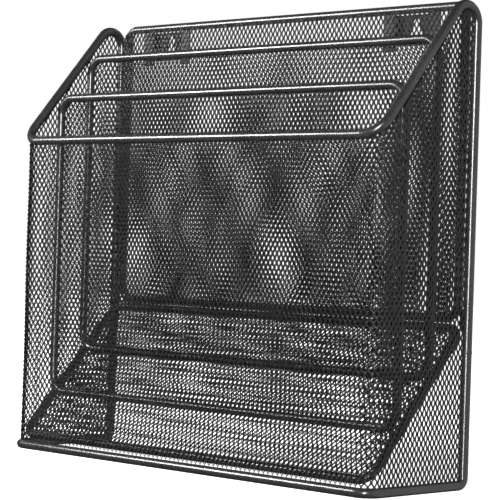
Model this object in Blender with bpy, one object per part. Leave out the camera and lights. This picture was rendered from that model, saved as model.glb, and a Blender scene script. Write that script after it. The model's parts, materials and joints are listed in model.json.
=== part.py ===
"""Three-pocket wire and mesh magazine file holder.

Bent round wires carry flat expanded-metal sheets: a sheet wrapped round the front and both
sides, a sloped floor, two dividers and a back. Two hat-shaped brackets with keyholes sit behind
the top rail. The holder stands on its base wire and is one rigid welded piece.

Frame: metres, +Z up, the front faces -Y, origin at the middle of the footprint on the ground.
"""

import math

import bmesh
import bpy
from mathutils import Matrix, Vector

# ---- overall layout ---------------------------------------------------------------------------
HALF_WIDTH = 0.1620          # centreline of the rim and base wires, left and right
HALF_DEPTH = 0.04275         # centreline of the front rails and of the rear legs
RIM_WIRE_RADIUS = 0.0030
FRONT_RAIL_Z = 0.2097
VIRTUAL_APEX_Z = 0.3096      # where the sloped rail would meet the rear leg without its bend
APEX_BEND_RADIUS = 0.0106
RIM_CORNER_RADIUS = 0.0138
LEG_JOINT_Z = 0.0830         # butt joint between the rim wire and the base wire
BASE_FRONT_BEND_RADIUS = 0.0096
BASE_REAR_BEND_RADIUS = 0.0045

# ---- floor, dividers and back -----------------------------------------------------------------
LOOP_WIRE_RADIUS = 0.00275
FLOOR_HALF_WIDTH = 0.1585
FLOOR_FRONT_Y = -0.03775
FLOOR_FRONT_Z = 0.0098
FLOOR_REAR_Y = 0.04125
FLOOR_REAR_Z = 0.0971
FLOOR_FRONT_CORNER_RADIUS = 0.0100
FLOOR_REAR_CORNER_RADIUS = 0.0100
FLOOR_SHEET_DROP = 0.00125   # the floor sheet lies just under the middle of its wires

FRONT_DIVIDER_HALF_WIDTH = 0.1574
REAR_DIVIDER_HALF_WIDTH = 0.1585
DIVIDER_TOP_RADIUS = 0.0115
DIVIDER_BOTTOM_RADIUS = 0.0122
FRONT_DIVIDER_Y = -0.01475
FRONT_DIVIDER_BOTTOM_Z = 0.0386
FRONT_DIVIDER_TOP_Z = 0.2406
REAR_DIVIDER_Y = 0.01160
REAR_DIVIDER_BOTTOM_Z = 0.0679
REAR_DIVIDER_TOP_Z = 0.2699

BACK_WIRE_RADIUS = 0.00275
BACK_HALF_WIDTH = 0.1537
BACK_BOTTOM_Z = 0.1028
BACK_TOP_Z = 0.2927
BACK_LOWER_CORNER_RADIUS = 0.0100
BACK_UPPER_CORNER_RADIUS = 0.0070
BACK_SHEET_STEP = 0.00345    # the back sheet is welded to the front of its wires
BACK_SHEET_BOTTOM_Z = 0.1002
BACK_SHEET_TOP_Z = 0.2912
BACK_SHEET_CORNER_RADIUS = 0.0060

# ---- sheet ------------------------------------------------------------------------------------
SHEET_THICKNESS = 0.0008
SHEET_EDGE_GAP = 0.00035     # from a sheet's edge to the surface of the wire around it
WRAP_BOTTOM_Z = 0.0064
WRAP_CORNER_RADIUS = 0.0098
WRAP_CLEARANCE = 0.0036      # from the wrapped sheet's middle to the rim wire's centreline
WRAP_COLUMNS_PER_SIDE = 18
SEARCH_STEP = 0.0005

# ---- hanger brackets --------------------------------------------------------------------------
BRACKET_X = 0.1120
BRACKET_HALF_WIDTH = 0.0230
BRACKET_PLATE_HALF_WIDTH = 0.0145
BRACKET_THICKNESS = 0.0012
BRACKET_FRONT_Y = 0.0400     # front face of the welded flanges
BRACKET_WALL_Y = 0.04575     # rear face of the raised plate, which lies on the wall
BRACKET_BOTTOM_Z = 0.2667
BRACKET_PLATE_BOTTOM_Z = 0.2703
BRACKET_TOP_Z = 0.2896
KEYHOLE_Z = 0.2765
KEYHOLE_RADIUS = 0.0050
KEYHOLE_SLOT_RADIUS = 0.0030
KEYHOLE_SLOT_Z = 0.2843      # centre of the slot's rounded upper end
BRACKET_EDGE = 0.00015

# ---- welds ------------------------------------------------------------------------------------
BUTT_WELD_RADIUS = 0.0030
BUTT_WELD_HEIGHT = 0.0010
JOINT_GAP = 0.0003
BEAD_X = 0.1577
BEAD_RADIUS = 0.00097
BEAD_BOTTOM_Z = 0.0950
BEAD_TOP_Z = 0.1090

# ---- facets -----------------------------------------------------------------------------------
WIRE_BEVEL_RESOLUTION = 5
BEND_SEGMENTS = 8
ARC_SEGMENTS = 10


def clear_scene():
    for old in list(bpy.data.objects):
        bpy.data.objects.remove(old, do_unlink=True)


def powder_coat(name, colour, roughness):
    """A satin black powder coat; the steel under it never shows."""
    material = bpy.data.materials.new(name)
    material.use_nodes = True
    shader = material.node_tree.nodes["Principled BSDF"]
    shader.inputs["Base Color"].default_value = (*colour, 1.0)
    shader.inputs["Roughness"].default_value = roughness
    shader.inputs["Metallic"].default_value = 0.0
    material.diffuse_color = (*colour, 1.0)
    return material


def rounded_path(corners, radii, closed):
    """A run through the corners, each inner corner replaced by an arc of its own radius."""
    points = []
    count = len(corners)
    for i, corner in enumerate(corners):
        if not closed and i in (0, count - 1):
            points.append(corner.copy())
            continue
        to_before = (corners[i - 1] - corner).normalized()
        to_after = (corners[(i + 1) % count] - corner).normalized()
        half_angle = 0.5 * to_before.angle(to_after)
        setback = radii[i] / math.tan(half_angle)
        centre = corner + (to_before + to_after).normalized() * (radii[i] / math.sin(half_angle))
        arm = corner + to_before * setback - centre
        last_arm = corner + to_after * setback - centre
        axis = arm.cross(last_arm).normalized()
        sweep = math.pi - 2.0 * half_angle
        for k in range(BEND_SEGMENTS + 1):
            turn = Matrix.Rotation(sweep * k / BEND_SEGMENTS, 3, axis)
            points.append(centre + turn @ arm)
    return points


def add_to_scene(obj, material, parent):
    obj.data.materials.append(material)
    bpy.context.scene.collection.objects.link(obj)
    obj.parent = parent
    return obj


def wire(name, points, radius, closed, material, parent, swell=None):
    """A round wire along the points; swell scales its radius point by point."""
    curve = bpy.data.curves.new(name, "CURVE")
    curve.dimensions = "3D"
    curve.twist_mode = "MINIMUM"
    curve.bevel_depth = radius
    curve.bevel_resolution = WIRE_BEVEL_RESOLUTION
    curve.use_fill_caps = not closed
    spline = curve.splines.new("POLY")
    spline.points.add(len(points) - 1)
    for i, (slot, point) in enumerate(zip(spline.points, points)):
        slot.co = (*point, 1.0)
        slot.radius = 1.0 if swell is None else swell[i]
    spline.use_cyclic_u = closed
    spline.use_smooth = True
    return add_to_scene(bpy.data.objects.new(name, curve), material, parent)


def loop_corners(half_width, height):
    """A rectangle in local XY, its lower edge on the X axis."""
    return [
        Vector((-half_width, 0.0, 0.0)),
        Vector((half_width, 0.0, 0.0)),
        Vector((half_width, height, 0.0)),
        Vector((-half_width, height, 0.0)),
    ]


def wire_loop(name, half_width, height, lower_radius, upper_radius, wire_radius, material, parent):
    radii = (lower_radius, lower_radius, upper_radius, upper_radius)
    points = rounded_path(loop_corners(half_width, height), radii, True)
    return wire(name, points, wire_radius, True, material, parent)


def object_from_bmesh(name, bm, material, parent):
    mesh = bpy.data.meshes.new(name)
    bm.to_mesh(mesh)
    bm.free()
    return add_to_scene(bpy.data.objects.new(name, mesh), material, parent)


def thicken(obj):
    solidify = obj.modifiers.new("sheet thickness", "SOLIDIFY")
    solidify.thickness = SHEET_THICKNESS
    solidify.offset = 0.0
    solidify.use_even_offset = True


def flat_sheet(name, half_width, low, high, lower_radius, upper_radius, material, parent):
    """A flat rounded sheet in local XY, from low to high along local Y."""
    corners = [point + Vector((0.0, low, 0.0)) for point in loop_corners(half_width, high - low)]
    radii = (lower_radius, lower_radius, upper_radius, upper_radius)
    bm = bmesh.new()
    outline = [bm.verts.new(point) for point in rounded_path(corners, radii, True)]
    bm.faces.new(outline)
    bm.normal_update()
    sheet = object_from_bmesh(name, bm, material, parent)
    thicken(sheet)
    return sheet


def sheet_in_loop(name, half_width, height, lower_radius, upper_radius, material, parent):
    """The sheet that fills a wire loop, its edge just inside the wire."""
    inset = LOOP_WIRE_RADIUS + SHEET_EDGE_GAP
    return flat_sheet(
        name,
        half_width - inset,
        inset,
        height - inset,
        lower_radius - inset,
        upper_radius - inset,
        material,
        parent,
    )


def distance_to_path(point, path):
    """Shortest distance from a point to a run of straight segments."""
    best = math.inf
    for start, end in zip(path, path[1:]):
        run = end - start
        along = max(0.0, min(1.0, (point - start).dot(run) / run.length_squared))
        best = min(best, (point - start - run * along).length)
    return best


def wrap_plan():
    """Plan positions of the wrapped sheet's columns, from the left rear edge round to the right."""
    rear = HALF_DEPTH - WRAP_CLEARANCE
    front = -HALF_DEPTH + WRAP_CORNER_RADIUS
    side = []
    for i in range(WRAP_COLUMNS_PER_SIDE + 1):
        side.append(Vector((HALF_WIDTH, rear + (front - rear) * i / WRAP_COLUMNS_PER_SIDE)))
    corner_centre = Vector((HALF_WIDTH - WRAP_CORNER_RADIUS, front))
    for i in range(1, BEND_SEGMENTS + 1):
        angle = 0.5 * math.pi * i / BEND_SEGMENTS
        arm = Vector((math.cos(angle), -math.sin(angle))) * WRAP_CORNER_RADIUS
        side.append(corner_centre + arm)
    left = [Vector((-point.x, point.y)) for point in side]
    return left + side[::-1]


def wrap_top(plan_point, rim_points):
    """How high the sheet reaches at one column before it comes close to the rim wire."""
    free = WRAP_BOTTOM_Z
    blocked = free
    while distance_to_path(Vector((*plan_point, blocked)), rim_points) >= WRAP_CLEARANCE - 1e-6:
        free = blocked
        blocked += SEARCH_STEP
    for _ in range(20):
        middle = 0.5 * (free + blocked)
        if distance_to_path(Vector((*plan_point, middle)), rim_points) < WRAP_CLEARANCE - 1e-6:
            blocked = middle
        else:
            free = middle
    return free


def wrapped_sheet(name, rim_points, material, parent):
    """One sheet bent round the front and both sides, its top edge following the rim wire."""
    upper_run = [p for p in rim_points if p.z > LEG_JOINT_Z + 0.002]
    bm = bmesh.new()
    columns = []
    for plan_point in wrap_plan():
        low = bm.verts.new((*plan_point, WRAP_BOTTOM_Z))
        high = bm.verts.new((*plan_point, wrap_top(plan_point, upper_run)))
        columns.append((low, high))
    for (low_a, high_a), (low_b, high_b) in zip(columns, columns[1:]):
        bm.faces.new((low_a, low_b, high_b, high_a))
    bm.normal_update()
    sheet = object_from_bmesh(name, bm, material, parent)
    sheet.data.shade_smooth()
    sheet.data.set_sharp_from_angle(angle=math.radians(30.0))
    thicken(sheet)
    return sheet


def keyhole_outline():
    """The keyhole in local XZ about the centre of its round part, anticlockwise."""
    neck = math.asin(KEYHOLE_SLOT_RADIUS / KEYHOLE_RADIUS)
    rise = KEYHOLE_SLOT_Z - KEYHOLE_Z
    points = []
    for i in range(ARC_SEGMENTS + 1):
        angle = math.pi * i / ARC_SEGMENTS
        across = KEYHOLE_SLOT_RADIUS * math.cos(angle)
        points.append((across, rise + KEYHOLE_SLOT_RADIUS * math.sin(angle)))
    start = 0.5 * math.pi + neck
    sweep = 2.0 * math.pi - 2.0 * neck
    for i in range(2 * ARC_SEGMENTS + 1):
        angle = start + sweep * i / (2 * ARC_SEGMENTS)
        points.append((KEYHOLE_RADIUS * math.cos(angle), KEYHOLE_RADIUS * math.sin(angle)))
    return points


def prism(name, outline, depth, material, parent):
    """The outline in local XZ, extruded by depth about the local XZ plane."""
    bm = bmesh.new()
    face = bm.faces.new([bm.verts.new((x, -0.5 * depth, z)) for x, z in outline])
    extruded = bmesh.ops.extrude_face_region(bm, geom=[face])
    moved = [item for item in extruded["geom"] if isinstance(item, bmesh.types.BMVert)]
    bmesh.ops.translate(bm, verts=moved, vec=(0.0, depth, 0.0))
    bmesh.ops.recalc_face_normals(bm, faces=bm.faces[:])
    return object_from_bmesh(name, bm, material, parent)


def cutter(obj):
    obj.hide_render = True
    obj.display_type = "WIRE"
    return obj


def cut(obj, tool):
    boolean = obj.modifiers.new("cut " + tool.name, "BOOLEAN")
    boolean.operation = "DIFFERENCE"
    boolean.solver = "EXACT"
    boolean.object = tool


def bracket_section():
    """The hat section in plan, about the wall plane: flange, step, raised plate, step, flange."""
    front = BRACKET_FRONT_Y - BRACKET_WALL_Y
    outer = BRACKET_HALF_WIDTH
    step = BRACKET_PLATE_HALF_WIDTH
    inner = step - BRACKET_THICKNESS
    right = [
        (outer, front),
        (outer, front + BRACKET_THICKNESS),
        (step, front + BRACKET_THICKNESS),
        (step, 0.0),
    ]
    left = [(-x, y) for x, y in right[::-1]]
    inside = [(-inner, front), (-inner, -BRACKET_THICKNESS)]
    inside += [(-x, y) for x, y in inside[::-1]]
    return right + left + inside


def hanger_bracket(name, x, material, parent):
    """A pressed sheet bracket whose raised plate carries the keyhole."""
    bm = bmesh.new()
    low = BRACKET_BOTTOM_Z - KEYHOLE_Z
    high = BRACKET_TOP_Z - KEYHOLE_Z
    face = bm.faces.new([bm.verts.new((px, py, low)) for px, py in bracket_section()])
    extruded = bmesh.ops.extrude_face_region(bm, geom=[face])
    moved = [item for item in extruded["geom"] if isinstance(item, bmesh.types.BMVert)]
    bmesh.ops.translate(bm, verts=moved, vec=(0.0, 0.0, high - low))
    bmesh.ops.recalc_face_normals(bm, faces=bm.faces[:])
    bracket = object_from_bmesh(name, bm, material, parent)
    bracket.location = (x, BRACKET_WALL_Y, KEYHOLE_Z)

    hole = cutter(prism(name + "_keyhole_cutter", keyhole_outline(), 0.006, material, bracket))
    edge = BRACKET_PLATE_HALF_WIDTH + 0.0001
    plate_low = BRACKET_PLATE_BOTTOM_Z - KEYHOLE_Z
    below = [(-edge, low - 0.002), (edge, low - 0.002), (edge, plate_low), (-edge, plate_low)]
    notch = cutter(prism(name + "_notch_cutter", below, 0.008, material, bracket))
    notch.location.y = 0.004 + BRACKET_FRONT_Y + BRACKET_THICKNESS - BRACKET_WALL_Y + JOINT_GAP
    cut(bracket, hole)
    cut(bracket, notch)
    soften = bracket.modifiers.new("pressed edges", "BEVEL")
    soften.width = BRACKET_EDGE
    soften.segments = 1
    soften.limit_method = "ANGLE"
    soften.angle_limit = math.radians(50.0)
    return bracket


def butt_weld(name, x, material, parent):
    """The thin collar of weld metal between the rim wire's end and the base wire's end."""
    bm = bmesh.new()
    bmesh.ops.create_cone(
        bm,
        cap_ends=True,
        segments=20,
        radius1=BUTT_WELD_RADIUS,
        radius2=BUTT_WELD_RADIUS,
        depth=BUTT_WELD_HEIGHT,
    )
    weld = object_from_bmesh(name, bm, material, parent)
    weld.location = (x, HALF_DEPTH, LEG_JOINT_Z)
    weld.data.shade_smooth()
    weld.data.set_sharp_from_angle(angle=math.radians(40.0))
    crown = weld.modifiers.new("rounded rim", "BEVEL")
    crown.width = 0.0003
    crown.segments = 2
    crown.limit_method = "ANGLE"
    return weld


def weld_bead(name, x, material, parent):
    """A short upright bead that closes the lower end of the slit beside the rear leg."""
    height = BEAD_TOP_Z - BEAD_BOTTOM_Z
    steps = 8
    points = []
    swell = []
    for i in range(steps + 1):
        share = -1.0 + 2.0 * i / steps
        points.append(Vector((0.0, 0.0, 0.5 * height * math.sin(0.5 * math.pi * share))))
        swell.append(0.45 + 0.55 * math.sqrt(max(0.0, 1.0 - share ** 4)))
    bead = wire(name, points, BEAD_RADIUS, False, material, parent, swell)
    bead.location = (x, HALF_DEPTH, 0.5 * (BEAD_BOTTOM_Z + BEAD_TOP_Z))
    return bead


def build():
    clear_scene()
    wire_coat = powder_coat("black_powder_coat_wire", (0.020, 0.020, 0.022), 0.36)
    sheet_coat = powder_coat("black_powder_coat_mesh", (0.024, 0.024, 0.026), 0.42)
    plate_coat = powder_coat("black_powder_coat_bracket", (0.022, 0.022, 0.024), 0.40)
    weld_coat = powder_coat("black_powder_coat_weld", (0.018, 0.018, 0.020), 0.45)

    holder = bpy.data.objects.new("file_holder", None)
    bpy.context.scene.collection.objects.link(holder)

    # The rim wire: left leg, left slope, front rail, right slope, right leg.
    rim_corners = [
        Vector((-HALF_WIDTH, HALF_DEPTH, LEG_JOINT_Z + 0.5 * BUTT_WELD_HEIGHT + JOINT_GAP)),
        Vector((-HALF_WIDTH, HALF_DEPTH, VIRTUAL_APEX_Z)),
        Vector((-HALF_WIDTH, -HALF_DEPTH, FRONT_RAIL_Z)),
    ]
    rim_corners += [Vector((-p.x, p.y, p.z)) for p in rim_corners[::-1]]
    rim_radii = (0.0, APEX_BEND_RADIUS, RIM_CORNER_RADIUS)
    rim_points = rounded_path(rim_corners, rim_radii + rim_radii[::-1], False)
    wire("upper_rim_wire", rim_points, RIM_WIRE_RADIUS, False, wire_coat, holder)

    # The base wire: left riser, left foot rail, front foot rail, right foot rail, right riser.
    base_corners = [
        Vector((-HALF_WIDTH, HALF_DEPTH, LEG_JOINT_Z - 0.5 * BUTT_WELD_HEIGHT - JOINT_GAP)),
        Vector((-HALF_WIDTH, HALF_DEPTH, RIM_WIRE_RADIUS)),
        Vector((-HALF_WIDTH, -HALF_DEPTH, RIM_WIRE_RADIUS)),
    ]
    base_corners += [Vector((-p.x, p.y, p.z)) for p in base_corners[::-1]]
    base_radii = (0.0, BASE_REAR_BEND_RADIUS, BASE_FRONT_BEND_RADIUS)
    base_points = rounded_path(base_corners, base_radii + base_radii[::-1], False)
    wire("base_wire", base_points, RIM_WIRE_RADIUS, False, wire_coat, holder)

    wrapped_sheet("wrap_mesh", rim_points, sheet_coat, holder)

    # The sloped floor: a wire loop with its sheet.
    floor_run = Vector((0.0, FLOOR_REAR_Y - FLOOR_FRONT_Y, FLOOR_REAR_Z - FLOOR_FRONT_Z))
    floor = wire_loop(
        "floor_frame_wire",
        FLOOR_HALF_WIDTH,
        floor_run.length,
        FLOOR_FRONT_CORNER_RADIUS,
        FLOOR_REAR_CORNER_RADIUS,
        LOOP_WIRE_RADIUS,
        wire_coat,
        holder,
    )
    floor.location = (0.0, FLOOR_FRONT_Y, FLOOR_FRONT_Z)
    floor.rotation_euler.x = math.atan2(floor_run.z, floor_run.y)
    floor_sheet = sheet_in_loop(
        "floor_mesh",
        FLOOR_HALF_WIDTH,
        floor_run.length,
        FLOOR_FRONT_CORNER_RADIUS,
        FLOOR_REAR_CORNER_RADIUS,
        sheet_coat,
        floor,
    )
    floor_sheet.location.z = -FLOOR_SHEET_DROP

    # The two upright dividers, each a wire loop with a sheet in its plane.
    dividers = (
        (
            "front_divider",
            FRONT_DIVIDER_HALF_WIDTH,
            FRONT_DIVIDER_Y,
            FRONT_DIVIDER_BOTTOM_Z,
            FRONT_DIVIDER_TOP_Z,
        ),
        (
            "rear_divider",
            REAR_DIVIDER_HALF_WIDTH,
            REAR_DIVIDER_Y,
            REAR_DIVIDER_BOTTOM_Z,
            REAR_DIVIDER_TOP_Z,
        ),
    )
    for name, half_width, y, bottom, top in dividers:
        frame = wire_loop(
            name + "_frame",
            half_width,
            top - bottom,
            DIVIDER_BOTTOM_RADIUS,
            DIVIDER_TOP_RADIUS,
            LOOP_WIRE_RADIUS,
            wire_coat,
            holder,
        )
        frame.location = (0.0, y, bottom)
        frame.rotation_euler.x = 0.5 * math.pi
        sheet_in_loop(
            name + "_mesh",
            half_width,
            top - bottom,
            DIVIDER_BOTTOM_RADIUS,
            DIVIDER_TOP_RADIUS,
            sheet_coat,
            frame,
        )

    # The back: a wire loop in the plane of the rear legs with its sheet in front.
    back = wire_loop(
        "back_frame_wire",
        BACK_HALF_WIDTH,
        BACK_TOP_Z - BACK_BOTTOM_Z,
        BACK_LOWER_CORNER_RADIUS,
        BACK_UPPER_CORNER_RADIUS,
        BACK_WIRE_RADIUS,
        wire_coat,
        holder,
    )
    back.location = (0.0, HALF_DEPTH, BACK_BOTTOM_Z)
    back.rotation_euler.x = 0.5 * math.pi
    back_sheet = flat_sheet(
        "back_mesh",
        BACK_HALF_WIDTH + BACK_WIRE_RADIUS,
        BACK_SHEET_BOTTOM_Z - BACK_BOTTOM_Z,
        BACK_SHEET_TOP_Z - BACK_BOTTOM_Z,
        BACK_SHEET_CORNER_RADIUS,
        BACK_SHEET_CORNER_RADIUS,
        sheet_coat,
        back,
    )
    back_sheet.location.z = BACK_SHEET_STEP

    for side, sign in (("left", -1.0), ("right", 1.0)):
        hanger_bracket("hanger_bracket_" + side, sign * BRACKET_X, plate_coat, holder)
        butt_weld("butt_weld_" + side, sign * HALF_WIDTH, weld_coat, holder)
        weld_bead("weld_bead_" + side, sign * BEAD_X, weld_coat, holder)


build()
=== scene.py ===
"""Looks of the wire and mesh file holder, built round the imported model."""

import json
import math

import bmesh
import bpy
import numpy as np
from mathutils import Matrix, Vector


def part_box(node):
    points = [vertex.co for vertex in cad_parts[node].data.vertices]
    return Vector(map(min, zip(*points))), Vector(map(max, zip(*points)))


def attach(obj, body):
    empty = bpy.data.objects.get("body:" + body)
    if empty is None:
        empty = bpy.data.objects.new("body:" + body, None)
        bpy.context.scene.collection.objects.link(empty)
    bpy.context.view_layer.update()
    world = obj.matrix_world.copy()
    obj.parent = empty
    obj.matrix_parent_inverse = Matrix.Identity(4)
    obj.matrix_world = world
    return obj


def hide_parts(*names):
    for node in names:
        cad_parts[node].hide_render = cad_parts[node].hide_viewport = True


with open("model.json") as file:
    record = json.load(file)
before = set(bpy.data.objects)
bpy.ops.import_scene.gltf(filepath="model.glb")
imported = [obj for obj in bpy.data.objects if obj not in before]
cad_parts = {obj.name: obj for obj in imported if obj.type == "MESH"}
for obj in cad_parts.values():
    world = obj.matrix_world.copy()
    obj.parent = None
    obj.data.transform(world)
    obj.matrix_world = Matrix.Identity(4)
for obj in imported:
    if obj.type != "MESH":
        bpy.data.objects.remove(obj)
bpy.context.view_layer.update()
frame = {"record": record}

# ---- the object's own dimensions, in metres ---------------------------------------------------
RIM_RADIUS = 0.0030
LOOP_RADIUS = 0.00275
BACK_RADIUS = 0.00275
FRONT_RAIL_Z = 0.2097
VIRTUAL_APEX_Z = 0.3096
APEX_BEND = 0.0106
RIM_CORNER = 0.0138
BASE_FRONT_BEND = 0.0096
BASE_REAR_BEND = 0.0045
FLOOR_FRONT_BEND = 0.0100
FLOOR_REAR_BEND = 0.0100
FLOOR_DROP = 0.00125          # the floor sheet lies just under the middle of its wires
FLOOR_SHEET_INSET = 0.0007    # from the wires' centrelines to the floor sheet's edge
DIVIDER_TOP_BEND = 0.0115
DIVIDER_BOTTOM_BEND = 0.0122
BACK_LOWER_BEND = 0.0100
BACK_UPPER_BEND = 0.0070
BACK_SHEET_CORNER = 0.0060
BACK_SHEET_GAP = 0.0003       # between the back sheet's middle and its wires
WRAP_CORNER = 0.0098
BRACKET_SHEET = 0.0012
BRACKET_FOLD = 0.0016
BRACKET_EDGE = 0.00022
PLATE_HALF_WIDTH = 0.0145     # the bracket's raised plate
PLATE_BOTTOM_STEP = 0.0036    # the raised plate ends this much above the flanges' lower ends
SLOT_TOP_MARGIN = 0.0053      # from the plate's top edge to the centre of the slot's round end
KEYHOLE_RADIUS = 0.0050
SLOT_RADIUS = 0.0030
CUTTER_REACH = 0.004          # how far a cutting body stands out past the plate
CUTTER_MARGIN = 0.0002

# ---- welds ------------------------------------------------------------------------------------
BUTT_WELD_HALF_LENGTH = 0.0016
BUTT_WELD_SWELL = 0.00022
BUTT_WELD_SWELL_SHARE = 0.42
BUTT_WELD_END_DIP = 0.00012
BEAD_END_RADIUS = 0.0002
BEAD_BODY_RADIUS = 0.00115
BEAD_SCALE_HEIGHT = 0.00007
BEAD_SCALE_COUNT = 9.0

# ---- expanded sheet: a diamond is PITCH_ACROSS wide and PITCH_ALONG long ------------------------
PITCH_ACROSS = 0.00395
PITCH_ALONG = 0.0059
KNUCKLE_HALF_WIDTH = 0.00065
KNUCKLE_HALF_SIDE = 0.00051
KNUCKLE_HALF_LENGTH = 0.00097
STRAND_THICKNESS = 0.00036
STRAND_TILT = math.radians(40.0)
FLOOR_STRAND_TILT = math.radians(20.0)

WIRE_SIDES_RESOLUTION = 10
BEND_SEGMENTS = 20
SETTLED = 1e-7                # a flat point moved less than this lies inside the sheet's outline

# ---- places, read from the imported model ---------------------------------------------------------
rim_low, rim_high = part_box("upper_rim_wire")
HALF_WIDTH = rim_high.x - RIM_RADIUS
HALF_DEPTH = 0.5 * (rim_high.y - rim_low.y) - RIM_RADIUS
BASE_Z = RIM_RADIUS
weld_low, weld_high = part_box("butt_weld_left")
LEG_JOINT_Z = 0.5 * (weld_low.z + weld_high.z)


# =================================================================================================
# Materials
# =================================================================================================


def link(tree, source, target):
    tree.links.new(source, target)


def noise(tree, vector, scale, detail, roughness=0.55):
    node = tree.nodes.new("ShaderNodeTexNoise")
    node.inputs["Scale"].default_value = scale
    node.inputs["Detail"].default_value = detail
    node.inputs["Roughness"].default_value = roughness
    link(tree, vector, node.inputs["Vector"])
    return node.outputs["Fac"]


def remap(tree, value, from_low, from_high, to_low, to_high):
    node = tree.nodes.new("ShaderNodeMapRange")
    node.inputs["From Min"].default_value = from_low
    node.inputs["From Max"].default_value = from_high
    node.inputs["To Min"].default_value = to_low
    node.inputs["To Max"].default_value = to_high
    link(tree, value, node.inputs["Value"])
    return node.outputs["Result"]


def blend_colours(tree, factor, first, second):
    node = tree.nodes.new("ShaderNodeMix")
    node.data_type = "RGBA"
    for socket, colour in ((node.inputs[6], first), (node.inputs[7], second)):
        if isinstance(colour, tuple):
            socket.default_value = (*colour, 1.0)
        else:
            link(tree, colour, socket)
    link(tree, factor, node.inputs[0])
    return node.outputs[2]


def powder_coat(name, dark, light, rough_low, rough_high, peel=0.06, wear=0.35, gloss=0.5):
    """Satin black powder coat: orange peel, fine grain, slow tone changes, dust and worn specks."""
    material = bpy.data.materials.new(name)
    material.use_nodes = True
    tree = material.node_tree
    shader = tree.nodes["Principled BSDF"]
    shader.inputs["Metallic"].default_value = 0.0
    shader.inputs["IOR"].default_value = 1.5
    shader.inputs["Specular IOR Level"].default_value = gloss
    place = tree.nodes.new("ShaderNodeTexCoord").outputs["Object"]

    slow = noise(tree, place, 34.0, 3.0)
    mottle = noise(tree, place, 420.0, 4.0)
    peel_height = noise(tree, place, 900.0, 2.0, 0.45)
    grain_height = noise(tree, place, 5200.0, 3.0)
    speck = noise(tree, place, 1500.0, 1.0)

    tone = remap(tree, slow, 0.3, 0.7, 0.0, 1.0)
    base = blend_colours(tree, tone, dark, light)
    mottled = tree.nodes.new("ShaderNodeMix")
    mottled.data_type = "RGBA"
    mottled.blend_type = "MULTIPLY"
    mottled.inputs[0].default_value = 1.0
    link(tree, base, mottled.inputs[6])
    shade = remap(tree, mottle, 0.25, 0.75, 0.82, 1.16)
    link(tree, shade, mottled.inputs[7])
    specks = remap(tree, speck, 0.74, 0.80, 0.0, wear)
    worn = blend_colours(tree, specks, mottled.outputs[2], (0.11, 0.11, 0.112))
    link(tree, worn, shader.inputs["Base Color"])

    rough = remap(tree, mottle, 0.20, 0.80, rough_low, rough_high)
    link(tree, rough, shader.inputs["Roughness"])

    coarse = tree.nodes.new("ShaderNodeBump")
    coarse.inputs["Strength"].default_value = peel
    coarse.inputs["Distance"].default_value = 0.00006
    link(tree, peel_height, coarse.inputs["Height"])
    fine = tree.nodes.new("ShaderNodeBump")
    fine.inputs["Strength"].default_value = 0.05
    fine.inputs["Distance"].default_value = 0.00003
    link(tree, grain_height, fine.inputs["Height"])
    link(tree, coarse.outputs["Normal"], fine.inputs["Normal"])
    link(tree, fine.outputs["Normal"], shader.inputs["Normal"])
    return material


wire_coat = powder_coat("coat_on_wire", (0.012, 0.012, 0.013), (0.021, 0.021, 0.022), 0.23, 0.31)
mesh_coat = powder_coat(
    "coat_on_mesh", (0.008, 0.008, 0.009), (0.014, 0.014, 0.015), 0.30, 0.38, wear=0.12, gloss=0.17)
plate_coat = powder_coat(
    "coat_on_bracket", (0.010, 0.010, 0.011), (0.018, 0.018, 0.019), 0.55, 0.68, gloss=0.25)
weld_coat = powder_coat("coat_on_weld", (0.012, 0.012, 0.013), (0.020, 0.020, 0.021), 0.34, 0.50, 0.4)


# =================================================================================================
# Shared shape helpers
# =================================================================================================


def show(piece, material, slot, *nodes):
    """Puts a finished piece in the scene in place of the CAD nodes it stands for."""
    piece.data.materials.clear()
    piece.data.materials.append(material)
    if piece.name not in bpy.context.scene.collection.objects:
        bpy.context.scene.collection.objects.link(piece)
    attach(piece, "root")
    for node in nodes:
        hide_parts(node)


def rounded_path(corners, radii, closed, segments=BEND_SEGMENTS):
    """A run through the corners, each inner corner replaced by an arc of its own radius."""
    points = []
    count = len(corners)
    for i, corner in enumerate(corners):
        if radii[i] == 0.0 or (not closed and i in (0, count - 1)):
            points.append(corner.copy())
            continue
        to_before = (corners[i - 1] - corner).normalized()
        to_after = (corners[(i + 1) % count] - corner).normalized()
        half_angle = 0.5 * to_before.angle(to_after)
        setback = radii[i] / math.tan(half_angle)
        centre = corner + (to_before + to_after).normalized() * (radii[i] / math.sin(half_angle))
        arm = corner + to_before * setback - centre
        axis = arm.cross(corner + to_after * setback - centre).normalized()
        sweep = math.pi - 2.0 * half_angle
        for k in range(segments + 1):
            points.append(centre + Matrix.Rotation(sweep * k / segments, 3, axis) @ arm)
    return points


def wire(name, points, radius, closed):
    """A round wire along the points."""
    curve = bpy.data.curves.new(name, "CURVE")
    curve.dimensions = "3D"
    curve.twist_mode = "MINIMUM"
    curve.bevel_depth = radius
    curve.bevel_resolution = WIRE_SIDES_RESOLUTION
    curve.use_fill_caps = not closed
    spline = curve.splines.new("POLY")
    spline.points.add(len(points) - 1)
    for knot, point in zip(spline.points, points):
        knot.co = (*point, 1.0)
    spline.use_cyclic_u = closed
    spline.use_smooth = True
    return bpy.data.objects.new(name, curve)


def loop_corners(half_width, low, high, place):
    """Corners of a flat loop, each put in the object by place(across, along)."""
    flat = ((-half_width, low), (half_width, low), (half_width, high), (-half_width, high))
    return [place(u, v) for u, v in flat]


def smooth_object(name, vertices, faces):
    mesh = bpy.data.meshes.new(name)
    mesh.from_pydata(vertices, [], faces)
    mesh.validate()
    mesh.shade_smooth()
    return bpy.data.objects.new(name, mesh)


# =================================================================================================
# Wires
# =================================================================================================


def mirrored(run):
    """The run on the left side, followed by its mirror image on the right."""
    return run + [Vector((-p.x, p.y, p.z)) for p in run[::-1]]


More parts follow.
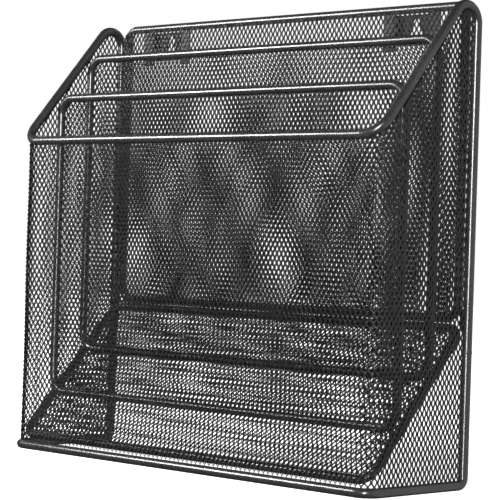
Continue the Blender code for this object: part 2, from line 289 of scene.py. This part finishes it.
rim_corners = mirrored([
    Vector((-HALF_WIDTH, HALF_DEPTH, LEG_JOINT_Z)),
    Vector((-HALF_WIDTH, HALF_DEPTH, VIRTUAL_APEX_Z)),
    Vector((-HALF_WIDTH, -HALF_DEPTH, FRONT_RAIL_Z)),
])
rim_radii = (0.0, APEX_BEND, RIM_CORNER, RIM_CORNER, APEX_BEND, 0.0)
rim_points = rounded_path(rim_corners, rim_radii, False)
show(wire("rim_wire_round", rim_points, RIM_RADIUS, False), wire_coat, "wire", "upper_rim_wire")

base_corners = mirrored([
    Vector((-HALF_WIDTH, HALF_DEPTH, LEG_JOINT_Z)),
    Vector((-HALF_WIDTH, HALF_DEPTH, BASE_Z)),
    Vector((-HALF_WIDTH, -HALF_DEPTH, BASE_Z)),
])
base_radii = (0.0, BASE_REAR_BEND, BASE_FRONT_BEND, BASE_FRONT_BEND, BASE_REAR_BEND, 0.0)
base_points = rounded_path(base_corners, base_radii, False)
show(wire("base_wire_round", base_points, RIM_RADIUS, False), wire_coat, "wire", "base_wire")


def upright(y):
    """Places (across, up) of a loop that stands at depth y."""
    return lambda u, v: Vector((u, y, v))


def loop_place(node, radius):
    """Half width, lowest and highest centreline and depth of an upright wire loop."""
    low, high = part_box(node)
    return high.x - radius, low.z + radius, high.z - radius, 0.5 * (low.y + high.y)


def upright_loop(name, node, radius, lower_bend, upper_bend):
    """Shows the round wire of an upright loop and returns its place."""
    half_width, low, high, y = loop_place(node, radius)
    corners = loop_corners(half_width, low, high, upright(y))
    points = rounded_path(corners, (lower_bend, lower_bend, upper_bend, upper_bend), True)
    show(wire(name, points, radius, True), wire_coat, "wire", node)
    return half_width, low, high, y


front_divider = upright_loop(
    "front_divider_wire_round", "front_divider_frame", LOOP_RADIUS,
    DIVIDER_BOTTOM_BEND, DIVIDER_TOP_BEND)
rear_divider = upright_loop(
    "rear_divider_wire_round", "rear_divider_frame", LOOP_RADIUS,
    DIVIDER_BOTTOM_BEND, DIVIDER_TOP_BEND)
back = upright_loop(
    "back_wire_round", "back_frame_wire", BACK_RADIUS,
    BACK_LOWER_BEND, BACK_UPPER_BEND)

floor_low, floor_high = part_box("floor_frame_wire")
FLOOR_HALF_WIDTH = floor_high.x - LOOP_RADIUS
floor_front = Vector((0.0, floor_low.y + LOOP_RADIUS, floor_low.z + LOOP_RADIUS))
floor_rear = Vector((0.0, floor_high.y - LOOP_RADIUS, floor_high.z - LOOP_RADIUS))
FLOOR_LENGTH = (floor_rear - floor_front).length
floor_along = (floor_rear - floor_front).normalized()
floor_up = Vector((1.0, 0.0, 0.0)).cross(floor_along)


def on_floor(u, v):
    return floor_front + Vector((u, 0.0, 0.0)) + floor_along * v


floor_radii = (FLOOR_FRONT_BEND, FLOOR_FRONT_BEND, FLOOR_REAR_BEND, FLOOR_REAR_BEND)
floor_corners = loop_corners(FLOOR_HALF_WIDTH, 0.0, FLOOR_LENGTH, on_floor)
floor_points = rounded_path(floor_corners, floor_radii, True)
show(wire("floor_wire_round", floor_points, LOOP_RADIUS, True), wire_coat, "wire", "floor_frame_wire")


# =================================================================================================
# Expanded sheets
# =================================================================================================


def ripple(u, v, seed):
    """A fraction of a millimetre of waviness, as a thin sheet has between its welds."""
    slow = np.sin(23.0 * u + 31.0 * v + seed) * np.sin(17.0 * v - 11.0 * u + 2.0 * seed)
    return 0.00022 * slow + 0.00008 * np.sin(71.0 * u - 53.0 * v + 3.0 * seed)


def expanded_sheet(name, low, high, clamp, place, facing, seed, tilt=STRAND_TILT, split=None):
    """Diamond mesh cut and stretched from one sheet.

    low and high are the flat sheet's corners, clamp moves flat points onto the sheet's outline
    where they lie outside it, place maps flat points (u, v, w) into the object, and facing says
    to which side the knuckles are turned. Six outline points of each knuckle, front and back,
    are shared with the four strands that leave it.
    """
    step_a = 0.5 * PITCH_ACROSS
    step_b = 0.5 * PITCH_ALONG
    count_i = int(math.ceil((high[0] - low[0]) / step_a)) + 5
    count_j = int(math.ceil((high[1] - low[1]) / step_b)) + 5
    i, j = np.meshgrid(np.arange(count_i), np.arange(count_j), indexing="ij")
    used = (i + j) % 2 == 0
    ids = np.full(i.shape, -1)
    ids[used] = np.arange(used.sum())
    middle_u = 0.5 * (low[0] + high[0])
    centre_u = middle_u + (i[used] - count_i // 2) * step_a
    centre_v = low[1] + (j[used] - 2) * step_b + 0.0004 * math.sin(seed)

    knuckle_outline = np.array([
        (KNUCKLE_HALF_WIDTH, -KNUCKLE_HALF_SIDE),
        (KNUCKLE_HALF_WIDTH, KNUCKLE_HALF_SIDE),
        (0.0, KNUCKLE_HALF_LENGTH),
        (-KNUCKLE_HALF_WIDTH, KNUCKLE_HALF_SIDE),
        (-KNUCKLE_HALF_WIDTH, -KNUCKLE_HALF_SIDE),
        (0.0, -KNUCKLE_HALF_LENGTH),
    ])
    wobble = 1.0 + 0.07 * np.sin(12.9898 * np.arange(centre_u.size)[:, None] + 1.7 * np.arange(6))
    cross = knuckle_outline[None, :, 0] * wobble
    along = knuckle_outline[None, :, 1] * wobble
    lift = facing * math.tan(tilt) * cross
    cross = np.concatenate([cross, cross], axis=1)
    along = np.concatenate([along, along], axis=1)
    half = 0.5 * STRAND_THICKNESS * np.repeat([1.0, -1.0], 6)[None, :]
    cross = cross - facing * math.sin(tilt) * half
    lift = np.concatenate([lift, lift], axis=1) + math.cos(tilt) * half
    u = (centre_u[:, None] + cross).ravel()
    v = (centre_v[:, None] + along).ravel()
    clamped_u, clamped_v = clamp(u, v)
    outside = (np.abs(clamped_u - u) + np.abs(clamped_v - v)) > SETTLED
    w = lift.ravel() + ripple(clamped_u, clamped_v, seed)

    knuckle = ids[used]
    quads = []

    def quad(a, b, c, d):
        quads.append(np.stack([a, b, c, d], axis=1))

    def corner(unit, k):
        return 12 * unit + k

    for back_side in (0, 6):
        for ring in ((0, 1, 2, 3), (3, 4, 5, 0)):
            order = ring if back_side == 0 else ring[::-1]
            quad(*(corner(knuckle, k + back_side) for k in order))
    for a, b in ((0, 1), (3, 4)):
        quad(*(corner(knuckle, k) for k in (a, a + 6, b + 6, b)))

    grid_i, grid_j = i[used], j[used]
    strands = ((1, 1, ((0, 1), (1, 5), (1, 4), (0, 2))), (-1, 1, ((0, 2), (1, 0), (1, 5), (0, 3))))
    for step_i, step_j, ring in strands:
        next_i, next_j = grid_i + step_i, grid_j + step_j
        ok = (next_i >= 0) & (next_i < count_i) & (next_j < count_j)
        pair = (knuckle[ok], ids[next_i[ok], next_j[ok]])
        front = [corner(pair[which], k) for which, k in ring]
        rear = [corner(pair[which], k + 6) for which, k in ring]
        quad(*front)
        quad(*rear[::-1])
        quad(front[0], rear[0], rear[1], front[1])
        quad(front[2], rear[2], rear[3], front[3])

    faces = np.concatenate(quads)
    faces = faces[~outside[faces].all(axis=1)]
    pieces = []
    face_u = clamped_u[faces].mean(axis=1)
    cuts = [-1e9] + list(split or []) + [1e9]
    for number, (start, stop) in enumerate(zip(cuts, cuts[1:])):
        chosen = faces[(face_u >= start) & (face_u < stop)]
        kept, local = np.unique(chosen, return_inverse=True)
        points = place(clamped_u[kept], clamped_v[kept], w[kept])
        label = name if split is None else f"{name}_{number + 1}"
        mesh = bpy.data.meshes.new(label)
        mesh.vertices.add(len(kept))
        mesh.vertices.foreach_set("co", np.ascontiguousarray(points, dtype=np.float32).ravel())
        mesh.loops.add(4 * len(chosen))
        mesh.loops.foreach_set("vertex_index", local.reshape(-1).astype(np.int32))
        mesh.polygons.add(len(chosen))
        mesh.polygons.foreach_set("loop_start", np.arange(0, 4 * len(chosen), 4, dtype=np.int32))
        mesh.update(calc_edges=True)
        mesh.validate()
        mesh.shade_smooth()
        pieces.append(bpy.data.objects.new(label, mesh))
    return pieces


def inside_rounded(half_width, low, high, lower_radius, upper_radius):
    """Clamp for a rounded rectangle."""

    def clamp(u, v):
        cu = np.clip(u, -half_width, half_width)
        cv = np.clip(v, low, high)
        for level, sign, radius in ((low, 1.0, lower_radius), (high, -1.0, upper_radius)):
            centre_u = half_width - radius
            centre_v = level + sign * radius
            over_u = np.abs(cu) - centre_u
            over_v = sign * (centre_v - cv)
            length = np.hypot(over_u, over_v)
            far = (over_u > 0.0) & (over_v > 0.0) & (length > radius)
            scale = np.where(far, radius / np.maximum(length, 1e-9), 1.0)
            cu = np.where(far, np.sign(cu) * (centre_u + over_u * scale), cu)
            cv = np.where(far, centre_v - sign * over_v * scale, cv)
        return cu, cv

    return clamp


def stack(x, y, z):
    """Columns of coordinates as one array of points."""
    return np.stack([x, y, z], axis=1)


def divider_sheet(name, node, loop, seed):
    half_width, low, high, y = loop
    clamp = inside_rounded(half_width, low, high, DIVIDER_BOTTOM_BEND, DIVIDER_TOP_BEND)
    sheets = expanded_sheet(
        name, (-half_width, low), (half_width, high), clamp,
        lambda u, v, w: stack(u, y - w, v), 1.0, seed)
    for sheet in sheets:
        show(sheet, mesh_coat, "mesh", node)


divider_sheet("front_divider_expanded", "front_divider_mesh", front_divider, 1.3)
divider_sheet("rear_divider_expanded", "rear_divider_mesh", rear_divider, 2.9)

sheet_low, sheet_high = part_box("back_mesh")
BACK_SHEET_Y = back[3] - BACK_RADIUS - BACK_SHEET_GAP
for sheet in expanded_sheet(
    "back_expanded", (sheet_low.x, sheet_low.z), (sheet_high.x, sheet_high.z),
    inside_rounded(sheet_high.x, sheet_low.z, sheet_high.z, BACK_SHEET_CORNER, BACK_SHEET_CORNER),
    lambda u, v, w: stack(u, BACK_SHEET_Y - w, v), -1.0, 4.1):
    show(sheet, mesh_coat, "mesh", "back_mesh")


def place_on_floor(u, v, w):
    lifted = w - FLOOR_DROP
    y = floor_front.y + floor_along.y * v + floor_up.y * lifted
    z = floor_front.z + floor_along.z * v + floor_up.z * lifted
    return stack(u, y, z)


for sheet in expanded_sheet(
    "floor_expanded", (-FLOOR_HALF_WIDTH, 0.0), (FLOOR_HALF_WIDTH, FLOOR_LENGTH),
    inside_rounded(
        FLOOR_HALF_WIDTH - FLOOR_SHEET_INSET, FLOOR_SHEET_INSET, FLOOR_LENGTH - FLOOR_SHEET_INSET,
        FLOOR_FRONT_BEND, FLOOR_REAR_BEND),
    place_on_floor, -1.0, 5.2, FLOOR_STRAND_TILT):
    show(sheet, mesh_coat, "mesh", "floor_mesh")

# The wrapped sheet: flat coordinate u runs from the left rear leg round the front to the right.
SIDE_RUN = 2.0 * HALF_DEPTH - WRAP_CORNER
CORNER_RUN = 0.5 * math.pi * WRAP_CORNER
FRONT_RUN = 2.0 * (HALF_WIDTH - WRAP_CORNER)
WRAP_RUN = 2.0 * (SIDE_RUN + CORNER_RUN) + FRONT_RUN
CORNER_X = HALF_WIDTH - WRAP_CORNER
CORNER_Y = -HALF_DEPTH + WRAP_CORNER


def place_on_wrap(u, v, w):
    """The left half of the path is built, and the right half mirrors it."""
    right = u > 0.5 * WRAP_RUN
    near = np.where(right, WRAP_RUN - u, u)
    turn = np.clip((near - SIDE_RUN) / WRAP_CORNER, 0.0, 0.5 * math.pi)
    reach = WRAP_CORNER + w
    x = -CORNER_X - np.cos(turn) * reach + np.maximum(near - SIDE_RUN - CORNER_RUN, 0.0)
    y = CORNER_Y - np.sin(turn) * reach + np.maximum(SIDE_RUN - near, 0.0)
    return stack(np.where(right, -x, x), y, v)


def wrap_flat(point):
    """Flat coordinate of a rim point on the left half."""
    if point.y >= CORNER_Y:
        return HALF_DEPTH - point.y
    if point.x >= -CORNER_X:
        return SIDE_RUN + CORNER_RUN + point.x + CORNER_X
    angle = math.atan2(CORNER_Y - point.y, -CORNER_X - point.x)
    return SIDE_RUN + angle * WRAP_CORNER


upper_left = [p for p in rim_points if p.x <= 0.0 and p.z > 0.5 * FRONT_RAIL_Z]
rim_profile = sorted((wrap_flat(p), p.z) for p in upper_left)
profile_u = np.array([u for u, z in rim_profile])
profile_z = np.array([z for u, z in rim_profile])


def inside_wrap(u, v):
    cu = np.clip(u, 0.0, WRAP_RUN)
    near = np.minimum(cu, WRAP_RUN - cu)
    top = np.interp(near, profile_u, profile_z)
    return cu, np.clip(v, BASE_Z, top)


for sheet in expanded_sheet(
    "wrap_expanded", (0.0, BASE_Z), (WRAP_RUN, rim_high.z), inside_wrap, place_on_wrap,
    1.0, 0.6, split=[0.5 * WRAP_RUN]):
    show(sheet, mesh_coat, "mesh", "wrap_mesh")


# =================================================================================================
# Hanger brackets
# =================================================================================================


def keyhole_outline(rise):
    """A round hole with a slot above it, whose round end lies rise above the hole's centre."""
    neck = math.asin(SLOT_RADIUS / KEYHOLE_RADIUS)
    points = []
    for k in range(17):
        angle = math.pi * k / 16
        points.append((SLOT_RADIUS * math.cos(angle), rise + SLOT_RADIUS * math.sin(angle)))
    start = 0.5 * math.pi + neck
    sweep = 2.0 * math.pi - 2.0 * neck
    for k in range(41):
        angle = start + sweep * k / 40
        points.append((KEYHOLE_RADIUS * math.cos(angle), KEYHOLE_RADIUS * math.sin(angle)))
    return points


def extruded(name, outline, move):
    """A closed prism of a flat outline, given as 3-D points, moved by a vector."""
    bm = bmesh.new()
    face = bm.faces.new([bm.verts.new(point) for point in outline])
    result = bmesh.ops.extrude_face_region(bm, geom=[face])
    moved = [item for item in result["geom"] if isinstance(item, bmesh.types.BMVert)]
    bmesh.ops.translate(bm, verts=moved, vec=move)
    bmesh.ops.recalc_face_normals(bm, faces=bm.faces[:])
    mesh = bpy.data.meshes.new(name)
    bm.to_mesh(mesh)
    bm.free()
    return bpy.data.objects.new(name, mesh)


def folded_bracket(name, node, wall):
    """Hat-shaped pressed sheet with soft folds, rolled edges and a keyhole in its raised plate.

    wall is the mount's point: the middle of the keyhole's round part, on the plate's rear face.
    """
    low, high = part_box(node)
    x = 0.5 * (low.x + high.x)
    half = 0.5 * (high.x - low.x)
    front = low.y + 0.5 * BRACKET_SHEET
    rear = wall.y - 0.5 * BRACKET_SHEET
    step_in = PLATE_HALF_WIDTH - 0.5 * BRACKET_SHEET
    centre_line = [
        Vector((-half, front, 0.0)), Vector((-step_in, front, 0.0)),
        Vector((-step_in, rear, 0.0)), Vector((step_in, rear, 0.0)),
        Vector((step_in, front, 0.0)), Vector((half, front, 0.0)),
    ]
    run = rounded_path(centre_line, (0.0, *(BRACKET_FOLD,) * 4, 0.0), False, 6)
    sides = [[], []]
    for k, point in enumerate(run):
        ahead = run[min(k + 1, len(run) - 1)] - run[max(k - 1, 0)]
        normal = Vector((-ahead.y, ahead.x, 0.0)).normalized() * (0.5 * BRACKET_SHEET)
        sides[0].append(point + normal)
        sides[1].append(point - normal)
    outline = [p + Vector((x, 0.0, low.z)) for p in sides[0] + sides[1][::-1]]
    body = extruded(name, outline, (0.0, 0.0, high.z - low.z))

    rise = high.z - SLOT_TOP_MARGIN - wall.z
    behind = rear + CUTTER_REACH
    hole = [(x + a, behind, wall.z + b) for a, b in keyhole_outline(rise)]
    notch_half = PLATE_HALF_WIDTH + CUTTER_MARGIN
    notch_low = low.z - 0.5 * CUTTER_REACH
    notch_high = low.z + PLATE_BOTTOM_STEP
    notch = [
        (x - notch_half, behind, notch_low),
        (x + notch_half, behind, notch_low),
        (x + notch_half, behind, notch_high),
        (x - notch_half, behind, notch_high),
    ]
    tools = [
        extruded(name + "_hole", hole, (0.0, -2.0 * CUTTER_REACH, 0.0)),
        extruded(name + "_notch", notch, (0.0, -(behind - front - BRACKET_SHEET), 0.0)),
    ]
    for item in [body] + tools:
        bpy.context.scene.collection.objects.link(item)
    for tool in tools:
        cut = body.modifiers.new(tool.name, "BOOLEAN")
        cut.operation = "DIFFERENCE"
        cut.object = tool
    soften = body.modifiers.new("edges", "BEVEL")
    soften.width = BRACKET_EDGE
    soften.segments = 3
    soften.limit_method = "ANGLE"
    soften.angle_limit = math.radians(50.0)
    shaped = bpy.data.meshes.new_from_object(
        body.evaluated_get(bpy.context.evaluated_depsgraph_get()))
    body.modifiers.clear()
    body.data = shaped
    for tool in tools:
        bpy.data.objects.remove(tool, do_unlink=True)
    body.data.shade_smooth()
    body.data.set_sharp_from_angle(angle=math.radians(38.0))
    show(body, plate_coat, "bracket", node)


mounts = {mount["name"]: Vector(mount["pos_m"]) for mount in frame["record"]["mounts"]}
for side in ("left", "right"):
    folded_bracket(
        f"bracket_{side}_folded", f"hanger_bracket_{side}", mounts[f"wall_plate_{side}"])


# =================================================================================================
# Welds
# =================================================================================================


def turned(name, profile, centre, sides=32, wobble=0.0):
    """A body turned about an upright axis from (radius, height) points, a little uneven."""
    vertices, faces = [], []
    for ring, (radius, height) in enumerate(profile):
        for k in range(sides):
            angle = 2.0 * math.pi * k / sides
            uneven = 1.0 + wobble * math.sin(3.0 * angle + ring) * math.sin(7.0 * angle - 2.0 * ring)
            vertices.append((
                centre.x + radius * uneven * math.cos(angle),
                centre.y + radius * uneven * math.sin(angle),
                centre.z + height))
    for ring in range(len(profile) - 1):
        for k in range(sides):
            a = ring * sides + k
            b = ring * sides + (k + 1) % sides
            faces.append((a, b, b + sides, a + sides))
    faces.append(tuple(range(sides))[::-1])
    faces.append(tuple(range((len(profile) - 1) * sides, len(profile) * sides)))
    return smooth_object(name, vertices, faces)


def shares(count):
    """Even steps from -1 to 1."""
    return [-1.0 + 2.0 * k / (count - 1) for k in range(count)]


def butt_weld(side):
    """A low ring round the joint of a rear leg, highest in the middle."""
    low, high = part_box(f"butt_weld_{side}")
    profile = []
    for share in shares(15):
        swell = BUTT_WELD_SWELL * math.exp(-((share / BUTT_WELD_SWELL_SHARE) ** 2))
        dip = BUTT_WELD_END_DIP * abs(share) ** 3
        profile.append((RIM_RADIUS + (swell - dip), BUTT_WELD_HALF_LENGTH * share))
    ring = turned(f"butt_weld_{side}_bead", profile, 0.5 * (low + high), 40, 0.012)
    show(ring, weld_coat, "weld", f"butt_weld_{side}")


def weld_bead(side):
    """An upright bead with a row of small scales between the back loop and the rear leg."""
    low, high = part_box(f"weld_bead_{side}")
    half = 0.5 * (high.z - low.z)
    profile = []
    for share in shares(49):
        body = math.sqrt(max(0.0, 1.0 - abs(share) ** 5))
        scales = BEAD_SCALE_HEIGHT * math.cos(2.0 * math.pi * BEAD_SCALE_COUNT * share)
        profile.append((BEAD_END_RADIUS + (BEAD_BODY_RADIUS + scales) * body, half * share))
    bead = turned(f"weld_bead_{side}_rippled", profile, 0.5 * (low + high), 24, 0.05)
    show(bead, weld_coat, "weld", f"weld_bead_{side}")


for side in ("left", "right"):
    butt_weld(side)
    weld_bead(side)


# =================================================================================================
# Stage, lights and camera
# =================================================================================================


def area_light(name, direction, distance, size, power, target=(0.0, 0.0, 0.15)):
    """A softbox that stands off in the given direction and is turned to the target."""
    lamp = bpy.data.lights.new(name, "AREA")
    lamp.shape = "RECTANGLE"
    lamp.size, lamp.size_y = size
    lamp.energy = power
    stand = bpy.data.objects.new(name, lamp)
    bpy.context.scene.collection.objects.link(stand)
    aim = Vector(direction).normalized()
    stand.location = Vector(target) + aim * distance
    stand.rotation_euler = aim.to_track_quat("Z", "Y").to_euler()


area_light("key_front_left", (-0.76, -0.72, 0.28), 1.10, (0.32, 0.28), 19.0, (0.0, 0.0, 0.24))
area_light("strip_front_right", (0.545, -0.839, 0.02), 2.2, (0.12, 1.4), 150.0)
area_light("strip_top_left", (-0.87, 0.30, 0.38), 2.2, (0.50, 0.12), 2.0, (0.162, 0.0, 0.25))
area_light("overhead", (0.05, -0.1, 1.0), 2.4, (1.6, 1.6), 0.5)

# The surroundings are dim, with one wide white zone towards the right rear. The camera itself sees
# plain white behind the object.
BRIGHT_ZONE = (0.80, 0.60, 0.05)
world = bpy.data.worlds.new("studio")
bpy.context.scene.world = world
world.use_nodes = True
tree = world.node_tree
tree.nodes.clear()
seen = tree.nodes.new("ShaderNodeBackground")
seen.inputs["Color"].default_value = (1.0, 1.0, 1.0, 1.0)
seen.inputs["Strength"].default_value = 1.0
around = tree.nodes.new("ShaderNodeBackground")
around.inputs["Color"].default_value = (1.0, 1.0, 1.0, 1.0)
towards = tree.nodes.new("ShaderNodeTexCoord").outputs["Generated"]
facing = tree.nodes.new("ShaderNodeVectorMath")
facing.operation = "DOT_PRODUCT"
facing.inputs[1].default_value = BRIGHT_ZONE
link(tree, towards, facing.inputs[0])
backdrop = remap(tree, facing.outputs["Value"], 0.30, 0.80, 0.04, 0.90)
link(tree, backdrop, around.inputs["Strength"])
path = tree.nodes.new("ShaderNodeLightPath")
either = tree.nodes.new("ShaderNodeMixShader")
output = tree.nodes.new("ShaderNodeOutputWorld")
link(tree, path.outputs["Is Camera Ray"], either.inputs[0])
link(tree, around.outputs[0], either.inputs[1])
link(tree, seen.outputs[0], either.inputs[2])
link(tree, either.outputs[0], output.inputs["Surface"])

GROUND_GAP = 0.0002
GROUND_RADIUS = 4.0
bm = bmesh.new()
bmesh.ops.create_circle(bm, cap_ends=True, segments=96, radius=GROUND_RADIUS)
ground_mesh = bpy.data.meshes.new("ground")
bm.to_mesh(ground_mesh)
bm.free()
ground = bpy.data.objects.new("ground", ground_mesh)
ground.location.z = -GROUND_GAP
bpy.context.scene.collection.objects.link(ground)
pale = bpy.data.materials.new("pale_ground")
pale.use_nodes = True
pale_shader = pale.node_tree.nodes["Principled BSDF"]
pale_shader.inputs["Base Color"].default_value = (0.82, 0.82, 0.82, 1.0)
pale_shader.inputs["Roughness"].default_value = 0.9
pale_shader.inputs["Emission Color"].default_value = (1.0, 1.0, 1.0, 1.0)
pale_shader.inputs["Emission Strength"].default_value = 1.0
ground_mesh.materials.append(pale)
ground.visible_glossy = False
ground.visible_diffuse = False

YAW, PITCH, ROLL = math.radians(45.211), math.radians(-0.205), math.radians(1.800)
CAMERA_PLACE = (0.94755, -0.92374, 0.14506)
FOCAL_LENGTH = 148.08
camera_data = bpy.data.cameras.new("camera")
camera_data.sensor_width = 36.0
camera_data.lens = FOCAL_LENGTH
camera_data.clip_start = 0.05
camera = bpy.data.objects.new("camera", camera_data)
bpy.context.scene.collection.objects.link(camera)
forward = Vector((
    -math.sin(YAW) * math.cos(PITCH), math.cos(YAW) * math.cos(PITCH), math.sin(PITCH)))
level = Vector((math.cos(YAW), math.sin(YAW), 0.0))
above = level.cross(forward)
right = level * math.cos(ROLL) + above * math.sin(ROLL)
up = above * math.cos(ROLL) - level * math.sin(ROLL)
turn = Matrix((right, up, -forward)).transposed().to_4x4()
camera.matrix_world = Matrix.Translation(CAMERA_PLACE) @ turn
bpy.context.scene.camera = camera
bpy.context.scene.view_settings.view_transform = "Standard"
